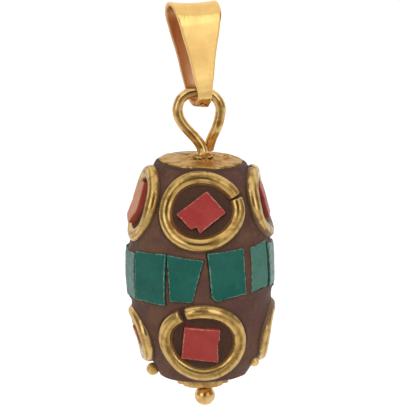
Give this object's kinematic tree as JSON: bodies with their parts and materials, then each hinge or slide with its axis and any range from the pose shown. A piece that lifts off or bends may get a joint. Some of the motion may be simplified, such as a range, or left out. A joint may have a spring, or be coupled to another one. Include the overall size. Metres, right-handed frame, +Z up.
{
  "type": "inlaid barrel bead pendant",
  "caption": "Barrel-shaped lac bead with brass wire rings, coral and turquoise chips, on a head pin whose eye hangs in a folded bail.",
  "frame": {"origin": "middle of the chain passage, on the inside of the bail's fold", "axes": "+Z up along the pin, the front of the bead faces -Y, +X to the viewer's right"},
  "size_m": [0.0156, 0.0159, 0.042],
  "materials": {
    "gilt_bail": "polished gold plating over brass",
    "pin_brass": "lightly tarnished gilt brass wire",
    "ring_brass": "aged brass wire, brown in the recesses",
    "cap_brass": "hammered, tarnished sheet brass",
    "granule_brass": "worn brass beads",
    "lac": "dull brown moulded lac resin",
    "coral": "matt ground red coral",
    "turquoise": "smooth green turquoise"
  },
  "bodies": {
    "bail": {"bail": "gilt_bail"},
    "pin": {"head_pin": "pin_brass"},
    "bead": {"core_tube": "cap_brass", "top_cap": "cap_brass", "bottom_cap": "cap_brass", "lac_core": "lac", "upper_ring_front": "ring_brass", "upper_ring_right": "ring_brass", "upper_ring_back": "ring_brass", "upper_ring_left": "ring_brass", "lower_ring_front": "ring_brass", "lower_ring_right": "ring_brass", "lower_ring_back": "ring_brass", "lower_ring_left": "ring_brass", "upper_coral_front": "coral", "upper_coral_right": "coral", "upper_coral_back": "coral", "upper_coral_left": "coral", "lower_coral_front": "coral", "lower_coral_right": "coral", "lower_coral_back": "coral", "lower_coral_left": "coral", "turquoise_01": "turquoise", "turquoise_02": "turquoise", "turquoise_03": "turquoise", "turquoise_04": "turquoise", "turquoise_05": "turquoise", "turquoise_06": "turquoise", "turquoise_07": "turquoise", "turquoise_08": "turquoise", "turquoise_09": "turquoise", "turquoise_10": "turquoise", "turquoise_11": "turquoise", "granule_front_left": "granule_brass", "granule_front_right": "granule_brass", "granule_back_right": "granule_brass", "granule_back_left": "granule_brass"}
  },
  "joints": [
    {"name": "pin_swing", "type": "hinge", "parent": "bail", "child": "pin", "pos_m": [0.00049, 0, -0.00874], "axis": [1, 0, 0], "range_deg": [-90, 90]},
    {"name": "bead_spin", "type": "hinge", "parent": "pin", "child": "bead", "pos_m": [0.00059, 0, -0.02722], "axis": [0, 0, 1], "continuous": true}
  ]
}
